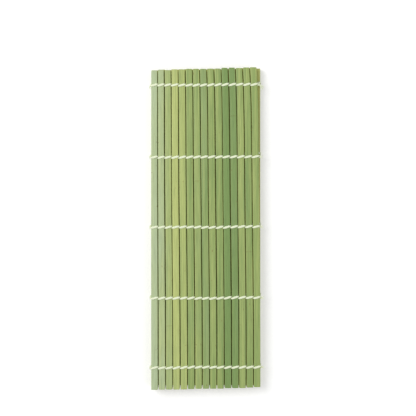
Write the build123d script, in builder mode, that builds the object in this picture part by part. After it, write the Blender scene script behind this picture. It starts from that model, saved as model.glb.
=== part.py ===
from build123d import *
import math
import os

# Sushi rolling mat, folded in three like a concertina: 45 flat bamboo slats lie side by side, and
# five rows of cotton cord bind them. Millimetres, X across the slats, Y along them, Z up. The
# origin is under the middle of the folded mat.
#
# The base third lies on the table. The middle third turns over it at the right-hand fold, and the
# top third turns back over that at the left-hand fold. Slat 1 of each third is its left-hand one.

# Slats
slat_length = 240.0
slat_width = 4.9
slat_thickness = 2.0
slat_gap = 0.6
slats_in_third = 15
slat_step = 0.1  # how much further along Y each slat lies than its left-hand neighbour
bark_bevel = 0.4  # on the long edges of the upper side
pith_bevel = 0.2  # on the long edges of the under side

# Cord, two strands to a row, pressed flat between slats
cord_width = 1.05
cord_height = 0.7
cord_bevel = 0.22
cord_sidestep = 0.62  # from a row's middle line to each strand where the two pass in a gap
row_count = 5
far_inset = 11.3  # from the slats' far ends to the first row
near_inset = 16.3  # from the last row to the slats' near ends

# Knots at the two free edges of the mat
knot_length = 1.6
knot_width = 2.0
knot_height = 1.6
knot_bevel = 0.45
tail_length = 2.4
tail_width = 0.9
tail_height = 0.7
tail_turn = 35.0  # degrees from the X axis

# Room to move
edge_clearance = 0.05  # between a slat's edge and a strand that passes it
end_clearance = 0.05  # between a strand's end and the line on which the mat bends
bend_clearance = 0.06  # above and below, between strands that part when the mat bends
layer_clearance = 0.2  # between the cords of one third and the next
fold_reach = 0.45  # from the slats' edges out to the line on which the mat folds

# Worked out from the sizes above
pitch = slat_width + slat_gap
middle_slat = (slats_in_third - 1) / 2
slat_places = [(number - middle_slat) * pitch for number in range(slats_in_third)]
slat_shifts = [(number - middle_slat) * slat_step for number in range(slats_in_third)]
row_spacing = (slat_length - far_inset - near_inset) / (row_count - 1)
row_places = [slat_length / 2 - far_inset - row * row_spacing for row in range(row_count)]
third_height = slat_thickness + 2 * cord_height + layer_clearance
base_level = cord_height
middle_level = base_level + third_height
top_level = middle_level + third_height

# A strand crosses one slat on a slant, over it or under it
upper_crown = slat_thickness + cord_height
lower_crown = -cord_height
over_slope = (2 * cord_sidestep + slat_step) / pitch
under_slope = -(2 * cord_sidestep - slat_step) / pitch
bar_reach = pitch / 2 - end_clearance

# A strand's leg beside a slat: its inner and outer distance from the slat's middle, and its foot.
# Legs that meet the next slat's strand end half way across the gap.
leg_inner = slat_width / 2 + edge_clearance
fold_outer = slat_width / 2 + fold_reach - end_clearance
bend_outer = pitch - leg_inner
fold_rise = layer_clearance / 2 - end_clearance
over_next = (leg_inner, pitch / 2, lower_crown)
under_next = (leg_inner, pitch / 2, upper_crown)
over_bend = (leg_inner, bend_outer, bend_clearance)
under_bend = (leg_inner, bend_outer, slat_thickness - bend_clearance)
over_fold = (leg_inner, fold_outer, lower_crown - fold_rise)
under_fold = (leg_inner, fold_outer, upper_crown + fold_rise)
edge_leg = (leg_inner, fold_outer, slat_thickness / 2)


def strand_outline(face, crown, left_leg, right_leg):
    # Side view of a strand on one slat: a bar on the slat's face, with a leg at either end or none
    if left_leg:
        inner, outer, foot = left_leg
        points = [(-inner, face), (-inner, foot), (-outer, foot), (-outer, crown)]
    else:
        points = [(-bar_reach, face), (-bar_reach, crown)]
    if right_leg:
        inner, outer, foot = right_leg
        points += [(outer, crown), (outer, foot), (inner, foot), (inner, face)]
    else:
        points += [(bar_reach, crown), (bar_reach, face)]
    return points


def make_strand(outline, slope, bevelled):
    # The side view stands on a slanting upright plane and is drawn out straight along Y, so that
    # the strand's ends stay square to the slats
    upright = Plane(origin=(0, -cord_width / 2, 0), x_dir=(1, slope, 0), z_dir=(slope, -1, 0))
    stretch = math.hypot(1, slope)
    with BuildPart() as strand:
        with BuildSketch(upright):
            with BuildLine():
                Polyline(*[(x * stretch, z) for x, z in outline], close=True)
            make_face()
        extrude(amount=cord_width, dir=(0, 1, 0))
        if bevelled:
            crown_face = -1 if slope > 0 else 0
            crown_edges = strand.edges().group_by(Axis.Z)[crown_face]
            chamfer(crown_edges.sort_by(SortBy.LENGTH)[-2:], length=cord_bevel)
    return strand.part


def over_strand(left_leg, right_leg, bevelled=False):
    outline = strand_outline(slat_thickness, upper_crown, left_leg, right_leg)
    return make_strand(outline, over_slope, bevelled)


def under_strand(left_leg, right_leg, bevelled=False):
    outline = strand_outline(0, lower_crown, left_leg, right_leg)
    return make_strand(outline, under_slope, bevelled)


def make_knot(turn):
    # One row's two strands tied together, with their cut tails; turn 0 faces right, 180 left
    with BuildPart() as knot:
        with Locations((knot_length / 2, 0, 0)):
            Box(knot_length, knot_width, knot_height)
        chamfer(knot.edges().filter_by(Axis.Y), length=knot_bevel)
        with Locations(Location((knot_length / 2, 0, 0), (0, 0, -tail_turn))):
            Box(
                tail_length,
                tail_width,
                tail_height,
                align=(Align.MIN, Align.CENTER, Align.CENTER),
            )
    return knot.part.rotate(Axis.Z, turn)


def write(part, name):
    part.label = name
    export_step(part, f"parts/{name}.step")


os.makedirs("parts", exist_ok=True)

# One slat, lying on its pith side, with a small bevel on every long edge
with BuildPart() as slat:
    Box(
        slat_width,
        slat_length,
        slat_thickness,
        align=(Align.CENTER, Align.CENTER, Align.MIN),
    )
    long_edges = slat.edges().filter_by(Axis.Y).group_by(Axis.Z)
    chamfer(long_edges[-1], length=bark_bevel)
    chamfer(long_edges[0], length=pith_bevel)

# Base third: every slat is a node, and each row's two strands run through unbroken
for number in range(slats_in_third):
    with BuildPart() as base_slat:
        with Locations((slat_places[number], slat_shifts[number], base_level)):
            add(slat.part)
    write(base_slat.part, f"base_slat_{number + 1:02d}")

base_overs = [over_strand(edge_leg, over_next)]
base_overs += [over_strand(over_next, over_next)] * (slats_in_third - 2)
base_overs += [over_strand(over_next, None)]
base_unders = [under_strand(edge_leg, under_next)]
base_unders += [under_strand(under_next, under_next)] * (slats_in_third - 2)
base_unders += [under_strand(under_next, under_fold)]
for row, row_place in enumerate(row_places):
    with BuildPart() as base_cord:
        for number in range(slats_in_third):
            with Locations(
                (slat_places[number], row_place + slat_shifts[number], base_level)
            ):
                add([base_overs[number], base_unders[number]])
    write(base_cord.part, f"base_cord_row_{row + 1}")

# Middle third: its slats share one node, a group of separate solids
with BuildPart() as middle_slats:
    for number in range(slats_in_third):
        with Locations((slat_places[number], slat_shifts[number], middle_level)):
            add(slat.part)
write(middle_slats.part, "middle_slats")

middle_overs = [over_strand(None, over_next)]
middle_overs += [over_strand(over_next, over_next)] * (slats_in_third - 2)
middle_overs += [over_strand(over_next, over_fold)]
middle_unders = [under_strand(under_fold, under_next)]
middle_unders += [under_strand(under_next, under_next)] * (slats_in_third - 2)
middle_unders += [under_strand(under_next, None)]
for row, row_place in enumerate(row_places):
    with BuildPart() as middle_cord:
        for number in range(slats_in_third):
            with Locations(
                (slat_places[number], row_place + slat_shifts[number], middle_level)
            ):
                add([middle_overs[number], middle_unders[number]])
    write(middle_cord.part, f"middle_cord_row_{row + 1}")

# Top third: the mat bends at every gap here, so each slat carries its own stretch of cord
top_overs = [over_strand(over_fold, over_bend, bevelled=True)]
top_overs += [over_strand(None, over_bend, bevelled=True)] * (slats_in_third - 2)
top_overs += [over_strand(None, edge_leg, bevelled=True)]
top_unders = [under_strand(None, under_bend, bevelled=True)] * (slats_in_third - 1)
top_unders += [under_strand(None, edge_leg, bevelled=True)]
for number in range(slats_in_third):
    with BuildPart() as top_slat:
        with Locations((slat_places[number], slat_shifts[number], top_level)):
            add(slat.part)
    write(top_slat.part, f"top_slat_{number + 1:02d}")
    with BuildPart() as top_cord:
        for row_place in row_places:
            with Locations(
                (slat_places[number], row_place + slat_shifts[number], top_level)
            ):
                add([top_overs[number], top_unders[number]])
    write(top_cord.part, f"top_cord_{number + 1:02d}")

# Knots: the base third's on its left edge, the top third's on its right edge
with BuildPart() as base_knots:
    for row_place in row_places:
        with Locations(
            (
                slat_places[0] - fold_outer,
                row_place + slat_shifts[0],
                base_level + slat_thickness / 2,
            )
        ):
            add(make_knot(180))
write(base_knots.part, "base_edge_knots")

with BuildPart() as top_knots:
    for row_place in row_places:
        with Locations(
            (
                slat_places[-1] + fold_outer,
                row_place + slat_shifts[-1],
                top_level + slat_thickness / 2,
            )
        ):
            add(make_knot(0))
write(top_knots.part, "top_edge_knots")
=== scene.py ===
import math

import bpy
import numpy as np
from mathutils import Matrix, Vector


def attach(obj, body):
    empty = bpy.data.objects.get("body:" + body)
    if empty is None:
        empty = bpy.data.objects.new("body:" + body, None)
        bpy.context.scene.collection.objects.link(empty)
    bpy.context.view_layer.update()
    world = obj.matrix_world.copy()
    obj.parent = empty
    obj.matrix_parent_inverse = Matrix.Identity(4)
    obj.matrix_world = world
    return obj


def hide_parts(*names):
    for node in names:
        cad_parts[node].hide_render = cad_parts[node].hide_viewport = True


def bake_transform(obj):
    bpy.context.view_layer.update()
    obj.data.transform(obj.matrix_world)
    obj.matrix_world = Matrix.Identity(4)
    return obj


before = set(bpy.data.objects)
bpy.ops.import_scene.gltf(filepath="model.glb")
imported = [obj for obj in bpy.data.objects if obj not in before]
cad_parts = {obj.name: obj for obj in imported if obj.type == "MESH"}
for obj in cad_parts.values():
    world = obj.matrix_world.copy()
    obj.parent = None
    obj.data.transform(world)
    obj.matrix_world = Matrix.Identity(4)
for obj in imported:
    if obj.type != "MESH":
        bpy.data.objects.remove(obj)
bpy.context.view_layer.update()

# Rolling mat folded in three. Lengths here are millimetres, X across the slats, Y along them and
# Z up, and makePiece turns them into metres.
mat = {
    "pitch": 5.5,  # from slat to slat
    "slats": 15,  # in each third
    "slatStep": 0.1,  # each slat lies this much further along Y than its left-hand neighbour
    "topSlatStep": 0.15,  # the same in the top third
    "halfLength": 120.0,
    "foldX": 41.4,  # fold lines, right and left
    "thirdRise": 3.6,
    "levels": {"base": 1.7, "middle": 5.3, "top": 8.9},  # middle of the slats' thickness
    "rows": [108.7, 55.6, 2.5, -50.6, -103.7],  # the cord, far row first
    "topRows": [107.9, 53.8, 1.3, -51.9, -104.0],
    "topRowStep": 0.03,  # how much further along Y a row of cord lies on each next slat
    "fan": 0.023,  # share of the top third's width that is lost at its far end
    "fanLength": 28.0,  # and how far from that end the narrowing fades to a third
    "lean": 1.1,  # the top third's far half lies this much to the left,
    "leanFrom": -95.0,  # from here along Y
    "leanTo": 70.0,  # to here
    "leanEdge": 41.0,  # but its left edge stays here,
    "leanWidth": 16.5,  # so that the first three slats taper
}
middleSlat = (mat["slats"] - 1) / 2


def slatX(index):
    # middle of a slat of any third
    return (index - middleSlat) * mat["pitch"]


def slatShift(index, step=mat["slatStep"]):
    # how far along Y a slat lies from the middle one
    return (index - middleSlat) * step


def rowY(third, row, index):
    # middle line of a cord row at a slat, or between two
    if third == "top":
        return mat["topRows"][row] + slatShift(index, mat["topRowStep"])
    return mat["rows"][row] + slatShift(index)


def smooth(value):
    # 0 below 0, 1 above 1 and an S between
    value = np.clip(value, 0, 1)
    return value * value * (3 - 2 * value)


def fanOut(points):
    # the top third's X, measured from its fold, shrinks by a share that grows towards the far end,
    # and its far half leans to the left
    spread = points.copy()
    x, y = points[..., 0], points[..., 1]
    fan = mat["fan"] * np.exp((y - mat["halfLength"]) / mat["fanLength"])
    spread[..., 0] -= (x + mat["foldX"]) * fan
    far = smooth((y - mat["leanFrom"]) / (mat["leanTo"] - mat["leanFrom"]))
    spread[..., 0] -= mat["lean"] * far * np.clip((x + mat["leanEdge"]) / mat["leanWidth"], 0, 1)
    return spread


def surface(points, along=None, closed=False, **fields):
    # A grid of rings, joined round each ring and along the rings. An open one is capped at both
    # ends by a fan round the end ring's middle. Fields are numbers on the same grid. The UV map
    # runs along the rings by the numbers in along, and once round each ring.
    rings, around = points.shape[:2]
    ring = np.arange(rings if closed else rings - 1)[:, None]
    step = np.arange(around)[None, :]
    nextRing, nextStep = (ring + 1) % rings, (step + 1) % around
    quads = np.stack(
        np.broadcast_arrays(
            ring * around + step,
            ring * around + nextStep,
            nextRing * around + nextStep,
            nextRing * around + step,
        ),
        -1,
    ).reshape(-1, 4)
    along = np.linspace(0, 1, rings) if along is None else np.asarray(along)
    if closed:
        along = np.append(along, 2 * along[-1] - along[-2])
    quadUv = np.stack(
        [
            np.stack(np.broadcast_arrays(along[ring + a], (step + b) / around), -1)
            for a, b in ((0, 0), (0, 1), (1, 1), (1, 0))
        ],
        -2,
    ).reshape(-1, 2)
    flat = points.reshape(-1, 3)
    flatFields = {
        name: np.broadcast_to(value, (rings, around)).ravel() for name, value in fields.items()
    }
    tris, triUv = np.zeros((0, 3), int), np.zeros((0, 2))
    if not closed:
        ends = np.stack([points[0].mean(0), points[-1].mean(0)])
        count = rings * around
        first, last = np.arange(around), np.arange(around) + count - around
        tris = np.concatenate(
            [
                np.stack([np.full(around, count), np.roll(first, -1), first], -1),
                np.stack([np.full(around, count + 1), last, np.roll(last, -1)], -1),
            ]
        )
        triUv = np.repeat([[along[0], 0.5], [along[-1], 0.5]], around * 3, axis=0)
        flat = np.concatenate([flat, ends])
        flatFields = {
            name: np.concatenate([value, [value[:around].mean(), value[-around:].mean()]])
            for name, value in flatFields.items()
        }
    # The volume under the faces is positive where they point outwards
    triangles = np.concatenate([quads[:, :3], quads[:, [0, 2, 3]], tris])
    a, b, c = (flat[triangles[:, k]] - flat.mean(0) for k in range(3))
    if np.einsum("ij,ij->i", a, np.cross(b, c)).sum() < 0:
        quads, tris = quads[:, ::-1], tris[:, ::-1]
        quadUv = quadUv.reshape(-1, 4, 2)[:, ::-1].reshape(-1, 2)
        triUv = triUv.reshape(-1, 3, 2)[:, ::-1].reshape(-1, 2)
    uv = (quadUv, triUv)
    return {"points": flat, "quads": quads, "tris": tris, "uv": uv, "fields": flatFields}


def makePiece(name, surfaces, material, sharp):
    # One mesh of all the surfaces, in metres, with edges sharper than so many degrees kept sharp
    starts = np.cumsum([0] + [len(part["points"]) for part in surfaces])
    points = np.concatenate([part["points"] for part in surfaces]) / 1000
    quads = np.concatenate([part["quads"] + start for part, start in zip(surfaces, starts)])
    tris = np.concatenate([part["tris"] + start for part, start in zip(surfaces, starts)])
    corners = np.concatenate([quads.ravel(), tris.ravel()])
    triStarts = quads.size + np.arange(len(tris)) * 3
    faceStarts = np.concatenate([np.arange(len(quads)) * 4, triStarts])
    uv = np.concatenate([part["uv"][0] for part in surfaces] + [part["uv"][1] for part in surfaces])
    mesh = bpy.data.meshes.new(name)
    mesh.vertices.add(len(points))
    mesh.vertices.foreach_set("co", points.astype(np.float32).ravel())
    mesh.loops.add(len(corners))
    mesh.loops.foreach_set("vertex_index", corners.astype(np.int32))
    mesh.polygons.add(len(faceStarts))
    mesh.polygons.foreach_set("loop_start", faceStarts.astype(np.int32))
    mesh.update(calc_edges=True)
    mesh.polygons.foreach_set("use_smooth", np.ones(len(faceStarts), bool))
    mesh.uv_layers.new(name="UVMap").data.foreach_set("uv", uv.astype(np.float32).ravel())
    for field in surfaces[0]["fields"]:
        values = np.concatenate([part["fields"][field] for part in surfaces])
        attribute = mesh.attributes.new(field, "FLOAT", "POINT")
        attribute.data.foreach_set("value", values.astype(np.float32))
    mesh.set_sharp_from_angle(angle=math.radians(sharp))
    mesh.materials.append(material)
    piece = bpy.data.objects.new(name, mesh)
    bpy.context.scene.collection.objects.link(piece)
    return piece


class Wire:
    # One output socket. Arithmetic on it adds Math nodes.
    def __init__(self, shader, socket):
        self.shader, self.socket = shader, socket

    def maths(self, operation, first, second=0.0):
        return self.shader.add("Math", {0: first, 1: second}, {"operation": operation})

    def __add__(self, other):
        return self.maths("ADD", self, other)

    def __sub__(self, other):
        return self.maths("SUBTRACT", self, other)

    def __rsub__(self, other):
        return self.maths("SUBTRACT", other, self)

    def __mul__(self, other):
        return self.maths("MULTIPLY", self, other)

    def __lt__(self, other):
        return self.maths("LESS_THAN", self, other)

    def __abs__(self):
        return self.maths("ABSOLUTE", self)

    __radd__ = __add__
    __rmul__ = __mul__


class Shader:
    # The node tree of a material or a world. Each method adds nodes and gives back a Wire.
    def __init__(self, owner):
        owner.use_nodes = True
        self.owner, self.tree = owner, owner.node_tree
        self.tree.nodes.clear()

    def add(self, kind, sockets=None, settings=None, out=0):
        made = self.tree.nodes.new("ShaderNode" + kind)
        for key, value in (settings or {}).items():
            setattr(made, key, value)
        for key, value in (sockets or {}).items():
            if isinstance(value, Wire):
                self.tree.links.new(value.socket, made.inputs[key])
            else:
                made.inputs[key].default_value = value
        return Wire(self, made.outputs[out])

    def output(self, wire, name):
        # another output of the node that a wire comes from
        return Wire(self, wire.socket.node.outputs[name])

    def field(self, name):
        # a number that the mesh holds at its points
        return self.add("Attribute", settings={"attribute_name": name}, out="Fac")

    def mix(self, factor, first, second, blend="MIX"):
        settings = {"data_type": "RGBA", "blend_type": blend, "clamp_factor": True}
        return self.add("Mix", {0: factor, 6: first, 7: second}, settings, out=2)

    def stretch(self, vector, factors):
        return self.add("VectorMath", {0: vector, 1: factors}, {"operation": "MULTIPLY"})

    def noise(self, vector, scale, detail=3.0, roughness=0.55):
        sockets = {"Vector": vector, "Scale": scale, "Detail": detail, "Roughness": roughness}
        return self.add("TexNoise", sockets)

    def span(self, value, low, high, toLow=0.0, toHigh=1.0):
        sockets = {0: value, 1: low, 2: high, 3: toLow, 4: toHigh}
        return self.add("MapRange", sockets, {"interpolation_type": "SMOOTHSTEP"})

    def finish(self, closure, target="OutputMaterial"):
        made = self.tree.nodes.new("ShaderNode" + target)
        self.tree.links.new(closure.socket, made.inputs["Surface"])
        return self.owner


def rgb(red, green, blue):
    # a screen colour, 0 to 255, as the linear one that shaders take
    screen = np.array([red, green, blue]) / 255
    linear = np.where(screen <= 0.04045, screen / 12.92, ((screen + 0.055) / 1.055) ** 2.4)
    return (*linear.tolist(), 1.0)


bamboo = {
    "straw": rgb(185, 195, 119),
    "leaf": rgb(120, 148, 84),
    "bloomAndHighlight": rgb(178, 194, 158),  # pale waxy film; on the top third's left-hand slats it is partly painted highlight
    "split": rgb(196, 194, 100),  # sides and underside, where the bamboo was split
    "brown": rgb(114, 84, 34),
    "grain": rgb(206, 198, 142),  # sawn ends
    # Noises: scale, how much of that along the slats, and detail
    "fibres": (5200, 0.016, 2.0),
    "streaks": (1100, 0.012, 3.0),
    "clouds": (160, 0.16, 3.0),
    "specks": (900, 0.3, 1.0),
    "cloudTone": 0.3,  # how far the clouds change a slat's green,
    "cloudFilm": 0.5,  # and its film
    "filmSpan": (0.1, 1.1),  # from no film to full film
    "burnSpan": (0.35, 0.6),  # the streaks that turn brown on a split side
    "fibreSpan": (0.28, 0.6),
    "fibreShades": (0.8, 1.06),  # the fibres darken and lighten the colour between these
    "ringShade": 0.22,  # share of brown in a node ring
    "speckSpan": (0.74, 0.8),
    "speckShade": 0.7,
    "bundleScale": 3600,  # fibre bundles that show in a sawn end
    "bundleSpan": (0.1, 0.36),
    "bundlePale": 0.35,
    "roughness": 0.4,
    "streakRoughness": 0.16,
    "splitRoughness": 0.2,
    "shine": 0.4,
    "bumpStrength": 0.35,
    "fibreDepth": 0.00003,
}


def makeBamboo():
    # Bark, split sides and sawn ends are told apart by numbers that the mesh holds. Noises that are
    # drawn out along Y make the fibres and streaks.
    shader = Shader(bpy.data.materials.new("greenBamboo"))
    place = shader.add("TexCoord", out="Object")
    tone, pale = shader.field("tone"), shader.field("pale")
    split, cut, ring = shader.field("split"), shader.field("cut"), shader.field("ring")
    burn = shader.field("burn")

    def grownNoise(name):
        scale, stretch, detail = bamboo[name]
        return shader.noise(shader.stretch(place, (1, stretch, 1)), scale, detail)

    fibres, streaks, clouds = (grownNoise(name) for name in ("fibres", "streaks", "clouds"))
    # the bark runs from straw to leaf green by the slat's tone, and then to its pale film, which is
    # partly real bloom and partly painted highlight
    greenness = tone + (streaks - 0.5) + (clouds - 0.5) * bamboo["cloudTone"]
    bark = shader.mix(shader.span(greenness, 0, 1), bamboo["straw"], bamboo["leaf"])
    paleness = pale + (clouds - 0.5) * bamboo["cloudFilm"]
    bark = shader.mix(shader.span(paleness, *bamboo["filmSpan"]), bark, bamboo["bloomAndHighlight"])
    inner = shader.mix(streaks, bamboo["split"], bark)
    brown = burn * shader.span(streaks, *bamboo["burnSpan"])
    inner = shader.mix(brown, inner, bamboo["brown"])
    colour = shader.mix(split, bark, inner)
    lines = shader.span(fibres, *bamboo["fibreSpan"], *bamboo["fibreShades"])
    grey = shader.add("CombineColor", {0: lines, 1: lines, 2: lines})
    colour = shader.mix(1.0, colour, grey, "MULTIPLY")
    colour = shader.mix(ring * bamboo["ringShade"], colour, bamboo["brown"])
    specks = shader.span(grownNoise("specks"), *bamboo["speckSpan"], 0, bamboo["speckShade"])
    colour = shader.mix(specks, colour, bamboo["brown"])
    cells = {"Vector": place, "Scale": bamboo["bundleScale"]}
    bundles = shader.add("TexVoronoi", cells, out="Distance")
    pith = shader.span(bundles, *bamboo["bundleSpan"], bamboo["bundlePale"], 1)
    grain = shader.mix(pith, bamboo["brown"], bamboo["grain"])
    colour = shader.mix(cut, colour, grain)
    relief = {
        "Height": fibres * 0.6 + streaks * 0.4,
        "Strength": bamboo["bumpStrength"],
        "Distance": bamboo["fibreDepth"],
    }
    uneven = bamboo["streakRoughness"] * streaks + bamboo["splitRoughness"] * split
    gloss = {
        "Base Color": colour,
        "Roughness": bamboo["roughness"] + uneven,
        "Normal": shader.add("Bump", relief),
        "Specular IOR Level": bamboo["shine"],
    }
    return shader.finish(shader.add("BsdfPrincipled", gloss))


slat = {
    "halfWidth": 2.46,
    "halfThickness": 1.0,
    "squareness": 0.24,  # power that turns an ellipse into a rectangle with rounded corners
    "crown": 0.07,  # how far the bark side falls towards its long edges
    "endPlay": 0.3,  # each end is so much longer or shorter, at most
    "widthShares": (0.975, 1.0),
    "thicknessShares": (0.95, 0.99),
    "cornerRadii": (0.15, 0.65),  # at the ends, seen from above
    "endBevel": 0.07,
    "edgeWave": 0.03,
    "waveLengths": (23, 9),  # millimetres to a radian
    "leftWave": 0.4,  # how much of the wave its left edge has
    "bow": 0.1,  # of its middle line, at most
    "skew": 0.08,
    "roll": 1.1,  # degrees
    "burn": 0.45,  # the most brown on a split side; the lower thirds' edge slats have none
    "splitFrom": 0.93,  # the split side begins here, as a share of the half width,
    "splitBlend": 0.06,  # and is complete so much further out
    "cutDepth": 0.03,  # how far the sawn look goes along a slat
    "sharp": 50,  # degrees from which an edge is sharp
    "seeds": {"base": 11, "middle": 12, "top": 13},
    "around": 24,
    "middleStations": 26,  # evenly spread between the two ends' stations,
    "middleFrom": 14,  # from here on
    "endStations": [0, 0.03, 0.07, 0.16, 0.28, 0.45, 0.65, 0.9, 1.2, 2.0, 3.5, 6.0, 10.0],
    "nodeStations": [-2.4, -1.4, -0.9, -0.55, -0.3, -0.1, 0.1, 0.3, 0.6, 1.1, 1.8],
    # Top third, left to right: 0 is straw yellow and 1 is leaf green, then how much pale film, which
    # on the left-hand slats is partly painted highlight
    "topTones": [
        *(0.34, 0.3, 0.45, 0.18, 0.36, 0.6, 0.56, 0.7),
        *(0.58, 0.64, 1.0, 0.92, 0.54, 0.64, 0.58),
    ],
    "topFilmAndHighlight": [
        *(0.78, 0.62, 0.36, 0.2, 0.16, 0.18, 0.22, 0.28),
        *(0.1, 0.12, 0.1, 0.2, 0.12, 0.1, 0.08),
    ],
    "rightHighlightTone": 0.1,  # the lower thirds' right-hand slats, which look out under the top third; their straw tone and pale film are a painted highlight that keeps them light in its shade
    "rightHighlightFilm": 0.45,
    "tones": (0.1, 0.9),  # the lower thirds' other slats
    "mostFilm": 0.4,
    "topNodes": {2: -72.0, 6: 36.0, 11: 84.0, 13: -18.0},  # node rings, by slat and place along Y
    "nodeSpread": 300.0,  # a lower slat's node falls within this of its middle,
    "nodeReach": 105.0,  # and shows within this
    "nodeLength": 0.55,
    "nodeWidth": 0.06,
    "nodeHeight": 0.1,
}


def slatSurface(index, shift, level, barkUp, tone, film, node, burn, chance):
    # Section: X is half width times a power of cosine, Z half thickness times a power of sine, so
    # that it is a rectangle with rounded corners. Each end's corners are rounded in plan too.
    half = mat["halfLength"] + chance.uniform(-slat["endPlay"], slat["endPlay"], 2)
    ends = np.array(slat["endStations"])
    length = half.sum()
    start = slat["middleFrom"]
    stations = [ends, length - ends, np.linspace(start, length - start, slat["middleStations"])]
    if node is not None:
        stations.append(node + half[0] + np.array(slat["nodeStations"]))
    along = np.unique(np.round(np.concatenate(stations), 3))
    fromNear, fromFar = along, length - along
    y = along - half[0]
    turn = np.linspace(0, 2 * np.pi, slat["around"], endpoint=False)
    cosine, sine = np.cos(turn), np.sin(turn)
    acrossUnit = np.sign(cosine) * np.abs(cosine) ** slat["squareness"]
    upUnit = np.sign(sine) * np.abs(sine) ** slat["squareness"]

    def corner(distance, radius):
        # how far a rounded corner draws the edge in, at a distance from the slat's end
        rest = np.clip(1 - distance / radius, 0, 1)
        return radius * (1 - np.sqrt(1 - rest**2))

    radii = chance.uniform(*slat["cornerRadii"], 4)
    wide = slat["halfWidth"] * chance.uniform(*slat["widthShares"])
    sway = chance.uniform(-1, 1, 4)
    slow, quick = slat["waveLengths"]
    wave = slat["edgeWave"] * (sway[0] * np.sin(y / slow) + sway[1] * np.sin(y / quick + 2))
    right = wide + wave - corner(fromNear, radii[0]) - corner(fromFar, radii[1])
    wave = wave * slat["leftWave"]
    left = -wide + wave + corner(fromNear, radii[2]) + corner(fromFar, radii[3])
    share = y / mat["halfLength"]
    bow = slat["bow"] * sway[2] * (1 - share**2) + slat["skew"] * sway[3] * share
    swell = np.zeros_like(y)
    if node is not None:
        swell = np.exp(-(((y - node) / slat["nodeLength"]) ** 2))
    lip = np.minimum(fromNear, fromFar)
    bevel = slat["endBevel"] * (1 - smooth(lip / slat["endBevel"]))
    thick = slat["halfThickness"] * chance.uniform(*slat["thicknessShares"]) - bevel
    middle = (right + left) / 2 + bow
    halfWide = (right - left) / 2 + slat["nodeWidth"] * swell
    x = middle[:, None] + halfWide[:, None] * acrossUnit
    bark = np.clip(upUnit, 0, 1)
    z = thick[:, None] * upUnit - slat["crown"] * bark * acrossUnit**2
    z = z + slat["nodeHeight"] * swell[:, None] * bark**4
    roll = math.radians(chance.uniform(-slat["roll"], slat["roll"]))
    x, z = x + z * roll, z - x * roll
    if not barkUp:
        x, z = -x, -z
    places = np.broadcast_to(y[:, None] + shift, x.shape)
    points = np.stack([x + slatX(index), places, z + level], -1)
    side = smooth((np.abs(acrossUnit) - slat["splitFrom"]) / slat["splitBlend"])
    return surface(
        points,
        tone=tone,
        pale=film,
        split=np.maximum(side, upUnit < 0),
        cut=(1 - smooth(lip / slat["cutDepth"]))[:, None],
        ring=(swell**3)[:, None] * bark,
        burn=burn * chance.uniform(0, 1) ** 2,
    )


greenBamboo = makeBamboo()


def makeSlats(third, body, barkUp):
    # A third's slats, each a piece of its own. Every slat draws its looks, and then the top third's
    # and the right-hand ones are given theirs instead.
    chance = np.random.default_rng(slat["seeds"][third])
    top = third == "top"
    for index in range(mat["slats"]):
        number = f"{index + 1:02d}"
        tone = chance.uniform(*slat["tones"])
        film = chance.uniform(0, slat["mostFilm"]) ** 1.5
        place = chance.uniform(-slat["nodeSpread"], slat["nodeSpread"])
        node = place if abs(place) < slat["nodeReach"] else None
        if top:
            tone, film = slat["topTones"][index], slat["topFilmAndHighlight"][index]
            node = slat["topNodes"].get(index)
        # painted highlight: the lower thirds' right-hand slat is set paler than its draw
        elif index == mat["slats"] - 1:
            tone, film = slat["rightHighlightTone"], slat["rightHighlightFilm"]
        shift = slatShift(index, mat["topSlatStep"]) if top else slatShift(index)
        burn = slat["burn"] * (top or 0 < index < mat["slats"] - 1)
        level = mat["levels"][third]
        made = slatSurface(index, shift, level, barkUp, tone, film, node, burn, chance)
        if top:
            made["points"] = fanOut(made["points"])
        piece = makePiece(f"{third}Slat{number}", [made], greenBamboo, slat["sharp"])
        if third == "middle":
            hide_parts("middle_slats")
            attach(piece, body)
        else:
            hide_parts(f"{third}_slat_{number}")
            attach(piece, f"slat_{number}" if top else body)


makeSlats("base", "base_third", barkUp=True)
makeSlats("middle", "middle_third", barkUp=False)
makeSlats("top", None, barkUp=True)
print("slats made")


cord = {
    "white": rgb(239, 246, 219),
    "shade": rgb(220, 227, 188),
    "halfWidth": 0.83,
    "halfHeight": 0.34,
    "gapHalfWidth": 0.56,  # pressed between two slats
    "gapHalfHeight": 0.23,
    "lift": 1.31,  # from the middle of a slat's thickness to the middle of a strand on its face
    "sidestep": 0.62,  # from a row's middle line to each strand in a gap
    "bendRadius": 0.5,
    "pressedFrom": 0.35,  # a strand widens from here, measured from a gap's middle,
    "pressedReach": 1.1,  # over this length
    "edgeFall": 0.05,  # share of its height that a strand loses towards a slat's edges
    "edgeReach": 0.55,  # how far a strand runs on past the edge slat's middle, in slats
    "foldReach": 2.9,  # from a slat's middle out to a strand that goes round a fold
    "foldZone": 0.08,  # each side of a fold's level, where a strand turns with the mat
    "bendZone": 0.3,  # each side of a gap's middle, where a strand bends with the mat
    "wander": 0.16,  # most height of each of a row's four slow waves
    "slopePlay": (0.85, 1.12),  # how the sidestep differs from gap to gap
    "turnsPerGap": 2,
    "plies": 3,
    "plyDepth": 0.1,
    "plySpan": (0.1, 0.9),  # from the shade between the plies to the white on them
    "plyShade": 0.8,
    "fibreShade": 0.9,
    "fibresRound": 40,
    "fibresAlong": 5,
    "fibreNoise": (1.6, 4.0, 0.7),  # scale, detail and roughness
    "fluffScale": 2600,
    "fluffDepth": 0.00009,
    "bumpStrength": 0.8,
    "roughness": 0.86,
    "fluffRoughness": 0.12,
    "shine": 0.12,
    "sheen": 0.2,
    "sheenRoughness": 0.5,
    "stepsPerGap": 48,
    "stepsPerFold": 57,
    "around": 14,
    "sharp": 60,  # degrees from which an edge is sharp
    "seeds": {"base": 1, "middle": 2, "top": 3},
}


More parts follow.
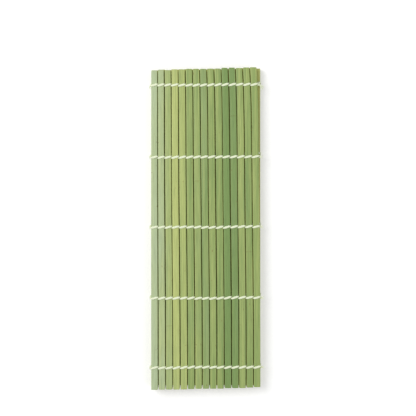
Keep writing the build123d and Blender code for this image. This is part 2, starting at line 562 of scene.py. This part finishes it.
def makeCotton():
    # White plies with shade between them, and fine fibres that run with the plies
    shader = Shader(bpy.data.materials.new("cottonTwine"))
    alongUv = shader.add("SeparateXYZ", {0: shader.add("TexCoord", out="UV")})
    roundUv = shader.output(alongUv, "Y")
    place = shader.add("TexCoord", out="Object")
    ply = shader.field("ply")
    # the plies turn once round for each unit along
    spun = {0: (roundUv - alongUv) * cord["fibresRound"], 1: alongUv * cord["fibresAlong"]}
    fibres = shader.noise(shader.add("CombineXYZ", spun), *cord["fibreNoise"])
    fluff = shader.noise(place, cord["fluffScale"])
    between = shader.span(ply, *cord["plySpan"], cord["plyShade"], 0.0)
    shade = between + (fibres - 0.5) * cord["fibreShade"]
    colour = shader.mix(shade, cord["white"], cord["shade"])
    relief = {
        "Height": fibres * 0.5 + fluff * 0.5,
        "Strength": cord["bumpStrength"],
        "Distance": cord["fluffDepth"],
    }
    gloss = {
        "Base Color": colour,
        "Roughness": cord["roughness"] + cord["fluffRoughness"] * fluff,
        "Normal": shader.add("Bump", relief),
        "Specular IOR Level": cord["shine"],
        "Sheen Weight": cord["sheen"],
        "Sheen Roughness": cord["sheenRoughness"],
    }
    return shader.finish(shader.add("BsdfPrincipled", gloss))


def unit(vectors):
    # each vector over its length
    return vectors / np.linalg.norm(vectors, axis=-1, keepdims=True)


def strand(
    path,
    halfAcross,
    halfUp,
    turns,
    reference=(0, 1, 0),
    closed=False,
    plyDepth=cord["plyDepth"],
    around=cord["around"],
):
    # An ellipse carried along a path, with its long axis as near to the reference as the path
    # allows. Its radius swells plies times round, and the swellings turn along the path.
    if closed:
        tangent = unit(np.roll(path, -1, 0) - np.roll(path, 1, 0))
    else:
        tangent = unit(np.gradient(path, axis=0))
    reference = np.broadcast_to(np.asarray(reference, float), path.shape)
    across = unit(reference - (reference * tangent).sum(1, keepdims=True) * tangent)
    up = np.cross(tangent, across)
    turn = np.linspace(0, 2 * np.pi, around, endpoint=False)[None, :]
    ply = np.cos(cord["plies"] * (turn - 2 * np.pi * np.reshape(turns, (-1, 1))))
    swell = 1 + plyDepth * ply
    sideways = (np.reshape(halfAcross, (-1, 1)) * swell * np.cos(turn))[..., None]
    upwards = (np.reshape(halfUp, (-1, 1)) * swell * np.sin(turn))[..., None]
    grid = path[:, None, :] + across[:, None, :] * sideways + up[:, None, :] * upwards
    crest = 0.5 + 0.5 * np.broadcast_to(ply, grid.shape[:2])
    return {"points": grid, "along": np.broadcast_to(turns, len(path)), "ply": crest}


def thickness(fromGap):
    # half width and half height of a strand: pressed thin in a gap, full on a slat
    full = smooth((np.abs(fromGap) - cord["pressedFrom"]) / cord["pressedReach"])
    wide = cord["gapHalfWidth"] + (cord["halfWidth"] - cord["gapHalfWidth"]) * full
    high = cord["gapHalfHeight"] + (cord["halfHeight"] - cord["gapHalfHeight"]) * full
    return wide, high


def sidestep(share):
    # straight near the slat's middle, easing off towards the gap
    return 0.5 * share + 0.5 * np.sin(np.pi / 2 * share)


def rowWander(third, row):
    # heights of slow waves along a row, and each gap's share of the sidestep
    chance = np.random.default_rng([cord["seeds"][third], row])
    waves = chance.uniform(-cord["wander"], cord["wander"], 4)
    steps = chance.uniform(*cord["slopePlay"], mat["slats"] + 2)
    return waves, steps


def rowRun(third, row, evenOver, first, last):
    # A strand's path from one slat's middle to another's, over and under the slats. In each gap:
    # level at lift, a quarter circle, straight down the gap's middle, a quarter circle, and level
    # again under the next slat. Slow waves move it along Y and vanish at the edge slats.
    half, radius, lift = mat["pitch"] / 2, cord["bendRadius"], cord["lift"]
    count = int(round((last - first) * cord["stepsPerGap"])) + 1
    s = np.linspace(first, last, count)
    gap = np.minimum(np.floor(s + 1e-9), math.ceil(last) - 1).astype(int)
    over = np.where((gap % 2 == 0) == evenOver, 1.0, -1.0)
    level, arc = half - radius, math.pi / 2 * radius
    halfCell = level + arc + lift - radius
    local = (s - gap) * 2 * halfCell
    q = np.minimum(local, 2 * halfCell - local)
    angle = np.clip((q - level) / radius, 0, math.pi / 2)
    x = np.where(q < level, q, level + radius * np.sin(angle))
    z = lift - radius * (1 - np.cos(angle)) - np.clip(q - level - arc, 0, None)
    z = z * (1 - cord["edgeFall"] * (x / half) ** 2)
    later = local > halfCell
    wide, high = thickness(half - x)
    waves, steps = rowWander(third, row)
    y = over * cord["sidestep"] * sidestep(x / half) * steps[gap + 1]
    x, z = np.where(later, 2 * half - x, x), np.where(later, -z, z) * over
    place = gap + x / mat["pitch"]
    y = y + rowY(third, row, place)
    lastSlat = mat["slats"] - 1
    for number, size in enumerate(waves):
        y = y + size * np.sin(np.pi * (number + 1) * np.clip(place, 0, lastSlat) / lastSlat)
    path = np.stack([slatX(place), y, z + mat["levels"][third]], -1)
    return strand(path, wide, high, s * cord["turnsPerGap"])


def foldRun(row, lower, side, over):
    # Round a fold: level out from the last slat, a quarter circle, straight up past the next
    # third's slat, a quarter circle, and level back
    radius, reach, rise = cord["bendRadius"], cord["foldReach"], mat["thirdRise"]
    level, arc = reach - radius, math.pi / 2 * radius
    halfRun = level + arc + rise / 2 - radius
    share = np.linspace(0, 1, cord["stepsPerFold"])
    run = share * 2 * halfRun
    q = np.minimum(run, 2 * halfRun - run)
    angle = np.clip((q - level) / radius, 0, math.pi / 2)
    x = np.where(q < level, q, level + radius * np.sin(angle))
    z = radius * (1 - np.cos(angle)) + np.clip(q - level - arc, 0, None)
    z = np.where(run > halfRun, rise - z, z)
    wide, high = thickness(reach - x)
    y = side * over * cord["sidestep"] * sidestep(x / reach)
    end = mat["slats"] - 1 if side > 0 else 0
    upper = {"base": "middle", "middle": "top"}[lower]
    below, above = rowY(lower, row, end), rowY(upper, row, end)
    y = y + below + (above - below) * smooth(share)
    foot = mat["levels"][lower] + over * cord["lift"]
    path = np.stack([slatX(end) + side * x, y, z + foot], -1)
    return strand(path, wide, high, share * cord["turnsPerGap"])


cottonTwine = makeCotton()
rows = range(len(mat["rows"]))


def makeCord(name, parts):
    return makePiece(name, parts, cottonTwine, cord["sharp"])


def makeRows(third, body, first, last):
    # A lower third's cord, with both strands of a row in one piece
    for row in rows:
        runs = (rowRun(third, row, evenOver, first, last) for evenOver in (True, False))
        parts = [surface(**run) for run in runs]
        piece = makeCord(f"{third}CordRow{row + 1}", parts)
        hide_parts(f"{third}_cord_row_{row + 1}")
        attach(piece, body)


def makeFold(name, lower, side):
    # All ten strands round a fold, in one piece
    parts = []
    for row in rows:
        for over in (1, -1):
            run = foldRun(row, lower, side, over)
            if lower == "middle":
                # it takes on the top third's lean on its way up
                share = np.linspace(0, 1, len(run["points"]))[:, None, None]
                moved = fanOut(run["points"]) - run["points"]
                run["points"] = run["points"] + moved * smooth(share)
            parts.append(surface(**run))
    piece = makeCord(name, parts)
    foldX, foldZ = side * mat["foldX"], mat["levels"][lower] + mat["thirdRise"] / 2
    start, end = (
        (foldX / 1000, 0, (foldZ + way * cord["foldZone"]) / 1000) for way in (-1, 1)
    )
    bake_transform(piece)


def makeTopCords():
    # The top third bends at every gap, so each gap's stretch of cord is a piece of its own.
    # The far row has pieces of its own, because the slats draw together towards that end.
    steps, crownZ = cord["stepsPerGap"], mat["levels"]["top"] + slat["halfThickness"]
    last = mat["slats"] - 1 + cord["edgeReach"]
    runs = [[rowRun("top", row, evenOver, 0, last) for evenOver in (True, False)] for row in rows]
    for run in (run for pair in runs for run in pair):
        run["points"] = fanOut(run["points"])
    for index in range(mat["slats"]):
        number, nextNumber = f"{index + 1:02d}", f"{index + 2:02d}"
        pick = slice(index * steps, (index + 1) * steps + 1)
        for name, members in (("topFarCord", rows[:1]), ("topCord", rows[1:])):
            whole = (run for row in members for run in runs[row])
            parts = [surface(**{key: value[pick] for key, value in run.items()}) for run in whole]
            piece = makeCord(name + number, parts)
            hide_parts(f"top_cord_{number}")
            if index == mat["slats"] - 1:
                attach(piece, f"slat_{number}")
                continue
            # the zone that bends lies across the line from the gap's middle in the first of these
            # rows to its middle in the last
            gapX = slatX(index + 0.5)
            gap = [[gapX, mat["topRows"][row], crownZ] for row in (members[0], members[-1])]
            far, near = fanOut(np.array(gap))
            across = np.array([1, (near[0] - far[0]) / max(far[1] - near[1], 1), 0])
            start, end = (
                (((far + near) / 2 + way * cord["bendZone"] * across) / 1000).tolist()
                for way in (-1, 1)
            )
            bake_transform(piece)


makeRows("base", "base_third", -cord["edgeReach"], mat["slats"] - 1)
makeFold("rightFoldCord", "base", 1)
makeRows("middle", "middle_third", 0, mat["slats"] - 1)
makeFold("leftFoldCord", "middle", -1)
makeTopCords()
print("cords made")


knot = {
    "reach": {"base": 3.3, "top": 3.55},  # from the edge slat's middle out to the knot's
    # half sizes along X, Y and Z, without the strand's own thickness
    "size": {"base": (0.3, 0.66, 0.5), "top": (0.42, 0.68, 0.52)},
    "sizePlay": (0.92, 1.06),
    "strand": 0.27,
    "tail": 1.5,
    "tailPlay": (0.8, 1.1),
    # degrees that the two cut tails turn from straight out, and how far each may differ
    "tailSpread": {"base": (-72, -84), "top": (8, -38)},
    "tailTurnPlay": 9,
    "fibres": 9,
    "fibreLength": 0.9,
    "fibrePlay": (0.5, 1.1),
    "fibreFan": 0.3,
    "fibreDroop": 0.12,
    "fibreRadius": 0.065,
    "tuftRow": 0,  # the top third's first row ends in a longer tuft
    "tuftSpread": (-36, -58),
    "tuftFibres": 40,
    "tuftLength": 3.0,
    "loopSteps": 96,
    "tailSteps": 22,
    "fibreSteps": 8,
    "seeds": {"base": 32, "top": 31},
}


def curve(points, count):
    # A smooth line through given points: cubic pieces that take each slope from the neighbours
    points = np.asarray(points, float)
    padded = np.concatenate([2 * points[:1] - points[1:2], points, 2 * points[-1:] - points[-2:-1]])
    t = np.linspace(0, len(points) - 1, count)
    k = np.minimum(t.astype(int), len(points) - 2)
    f = (t - k)[:, None]
    a, b, c, d = (padded[k + shift] for shift in range(4))
    slope, bend, turn = c - a, 2 * a - 5 * b + 4 * c - d, 3 * b - a - 3 * c + d
    return 0.5 * (2 * b + slope * f + bend * f**2 + turn * f**3)


def knotSurfaces(third, centre, way, tuft, chance):
    # Trefoil: Y is sin t + 2 sin 2t, Z is cos t - 2 cos 2t and X is -sin 3t, each scaled. Two
    # tails come out of it, and each ends in a brush of fibres.
    t = np.linspace(0, 2 * np.pi, knot["loopSteps"], endpoint=False)
    pathY = (np.sin(t) + 2 * np.sin(2 * t)) / 3
    pathZ = (np.cos(t) - 2 * np.cos(2 * t)) / 3
    sizes = np.array(knot["size"][third])
    path = np.stack([-np.sin(3 * t), pathY, pathZ], -1) * sizes * chance.uniform(*knot["sizePlay"], 3)
    thick = np.full(len(t), knot["strand"])
    turns = np.arange(len(t)) / len(t) * 3
    loop = strand(path, thick * 1.1, thick, turns, reference=path + [0.01, 0, 0], closed=True)
    parts = [surface(**loop, closed=True)]
    start = np.array([way * 0.2, 0, 0])
    spreads = knot["tuftSpread"] if tuft else knot["tailSpread"][third]
    count = knot["tuftFibres"] if tuft else knot["fibres"]
    reach = knot["tuftLength"] if tuft else knot["fibreLength"]
    for turn, side in zip(spreads, (0.3, -0.3)):
        angle = math.radians(turn + chance.uniform(-knot["tailTurnPlay"], knot["tailTurnPlay"]))
        out = np.array([way * math.cos(angle), math.sin(angle), chance.uniform(-0.12, 0.02)])
        length = knot["tail"] * chance.uniform(*knot["tailPlay"])
        tip = start + [0, side, 0] + out * length
        bend = start + [way * 0.3, side * 1.1, 0.1] + out * length * 0.45
        line = curve([start + [0, side * 0.6, 0.05], bend, tip], knot["tailSteps"])
        thin = knot["strand"] * np.linspace(1, 0.8, len(line))
        turns = np.linspace(0, 1.1, len(line))
        parts.append(surface(**strand(line, thin, thin * 0.85, turns, (0, 0, 1))))
        for _ in range(count):
            fan = chance.normal(0, knot["fibreFan"], 3) * [1, 1, 0.6]
            size = reach * chance.uniform(*knot["fibrePlay"])
            root = line[-5] + chance.normal(0, 0.09, 3)
            droop = np.array([0, 0, -knot["fibreDroop"] * size])
            middle = root + (out + fan * 0.5) * size * 0.5
            end = root + (out + fan) * size + droop
            hair = curve([root, middle, end], knot["fibreSteps"])
            hairThick = knot["fibreRadius"] * np.linspace(1, 0.35, len(hair))
            made = strand(hair, hairThick, hairThick, 0, (0.1, 0.2, 1), plyDepth=0, around=6)
            made["ply"] = np.ones_like(made["ply"])
            parts.append(surface(**made))
    for part in parts:
        part["points"] = part["points"] + centre
    return parts


def makeKnots(name, third, way, body, node):
    # A knot to each row at a free edge of the mat
    chance = np.random.default_rng(knot["seeds"][third])
    end = mat["slats"] - 1 if way > 0 else 0
    parts = []
    for row in rows:
        y = rowY(third, row, end)
        centre = np.array([slatX(end) + way * knot["reach"][third], y, mat["levels"][third]])
        tuft = third == "top" and row == knot["tuftRow"]
        made = knotSurfaces(third, centre, way, tuft, chance)
        if third == "top":
            for part in made:
                part["points"] = fanOut(part["points"])
        parts += made
    piece = makeCord(name, parts)
    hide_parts(node)
    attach(piece, body)


makeKnots("baseEdgeKnots", "base", -1, "base_third", "base_edge_knots")
makeKnots("topEdgeKnots", "top", 1, "slat_15", "top_edge_knots")
print("knots made")


stage = {
    "floorHalf": 3.0,
    "floorColour": (0.8, 0.8, 0.8, 1),
    "floorGlow": (0.3, 0.74),  # added for the camera, near the mat and far from it
    "glowReach": (0.2, 0.8),  # distances between which it rises
    # painted shade: the floor under the base third is a dark olive, so that the gaps between the
    # slats look dark
    "paintedShadeColour": (0.4, 0.45, 0.14, 1),
    "paintedShadeHalf": (0.0385, 0.1188),  # half sizes of the painted shade patch under the base third
    "world": 0.49,  # light from all round
    "lamps": [
        # place, size and power in watts; each points at the mat
        ((-0.7, 0.4, 0.95), 0.9, 9.5),
        ((0.8, -0.4, 0.9), 1.0, 3.0),
    ],
    "cameraPlace": (0.0016, 0.0155, 0.8761),
    "lens": 100.0,
    "sensor": 36.0,
    "clipStart": 0.01,
    "white": (1, 1, 1, 1),
}


def makeFloor():
    # Pale and matt. It glows for the camera alone, so that it looks white, but not under the mat,
    # where a dark olive patch is painted shade.
    shader = Shader(bpy.data.materials.new("paleFloor"))
    rays = shader.add("LightPath", out="Is Camera Ray")
    seen = rays + shader.output(rays, "Is Glossy Ray") + shader.output(rays, "Is Transmission Ray")
    place = shader.add("TexCoord", out="Object")
    placeX = shader.add("SeparateXYZ", {0: place})
    halfX, halfY = stage["paintedShadeHalf"]
    # painted shade: the patch under the base third, which is darker and does not glow
    paintedShadeMask = (abs(placeX) < halfX) * (abs(shader.output(placeX, "Y")) < halfY)
    colour = shader.mix(paintedShadeMask, stage["floorColour"], stage["paintedShadeColour"])
    matte = shader.add("BsdfDiffuse", {"Color": colour})
    distance = shader.add("VectorMath", {0: place}, {"operation": "LENGTH"}, out="Value")
    level = shader.span(distance, *stage["glowReach"], *stage["floorGlow"])
    strength = seen * (1 - paintedShadeMask) * level
    glow = shader.add("Emission", {"Color": stage["white"], "Strength": strength})
    material = shader.finish(shader.add("AddShader", {0: matte, 1: glow}))
    half = stage["floorHalf"]
    corners = [(-half, -half, 0), (half, -half, 0), (half, half, 0), (-half, half, 0)]
    mesh = bpy.data.meshes.new("floor")
    mesh.from_pydata(corners, [], [(0, 1, 2, 3)])
    mesh.materials.append(material)
    floor = bpy.data.objects.new("floor", mesh)
    bpy.context.scene.collection.objects.link(floor)


def makeWorld():
    # Even light from all round, which the camera sees as plain white
    world = bpy.data.worlds.new("studio")
    bpy.context.scene.world = world
    shader = Shader(world)
    rays = shader.add("LightPath", out="Is Camera Ray")
    level = stage["world"] + rays * (1 - stage["world"])
    light = shader.add("Background", {"Color": stage["white"], "Strength": level})
    shader.finish(light, "OutputWorld")


def makeLamps():
    for number, (place, size, power) in enumerate(stage["lamps"]):
        data = bpy.data.lights.new(f"softLamp{number + 1}", "AREA")
        data.shape, data.size, data.energy = "DISK", size, power
        lamp = bpy.data.objects.new(data.name, data)
        lamp.location = place
        lamp.rotation_euler = (-Vector(place)).to_track_quat("-Z", "Y").to_euler()
        bpy.context.scene.collection.objects.link(lamp)


def makeCamera():
    data = bpy.data.cameras.new("camera")
    data.lens, data.sensor_width = stage["lens"], stage["sensor"]
    data.clip_start = stage["clipStart"]
    camera = bpy.data.objects.new("camera", data)
    camera.location = stage["cameraPlace"]
    bpy.context.scene.collection.objects.link(camera)
    bpy.context.scene.camera = camera


makeFloor()
makeWorld()
makeLamps()
makeCamera()
bpy.context.scene.view_settings.view_transform = "Standard"
print("stage made")
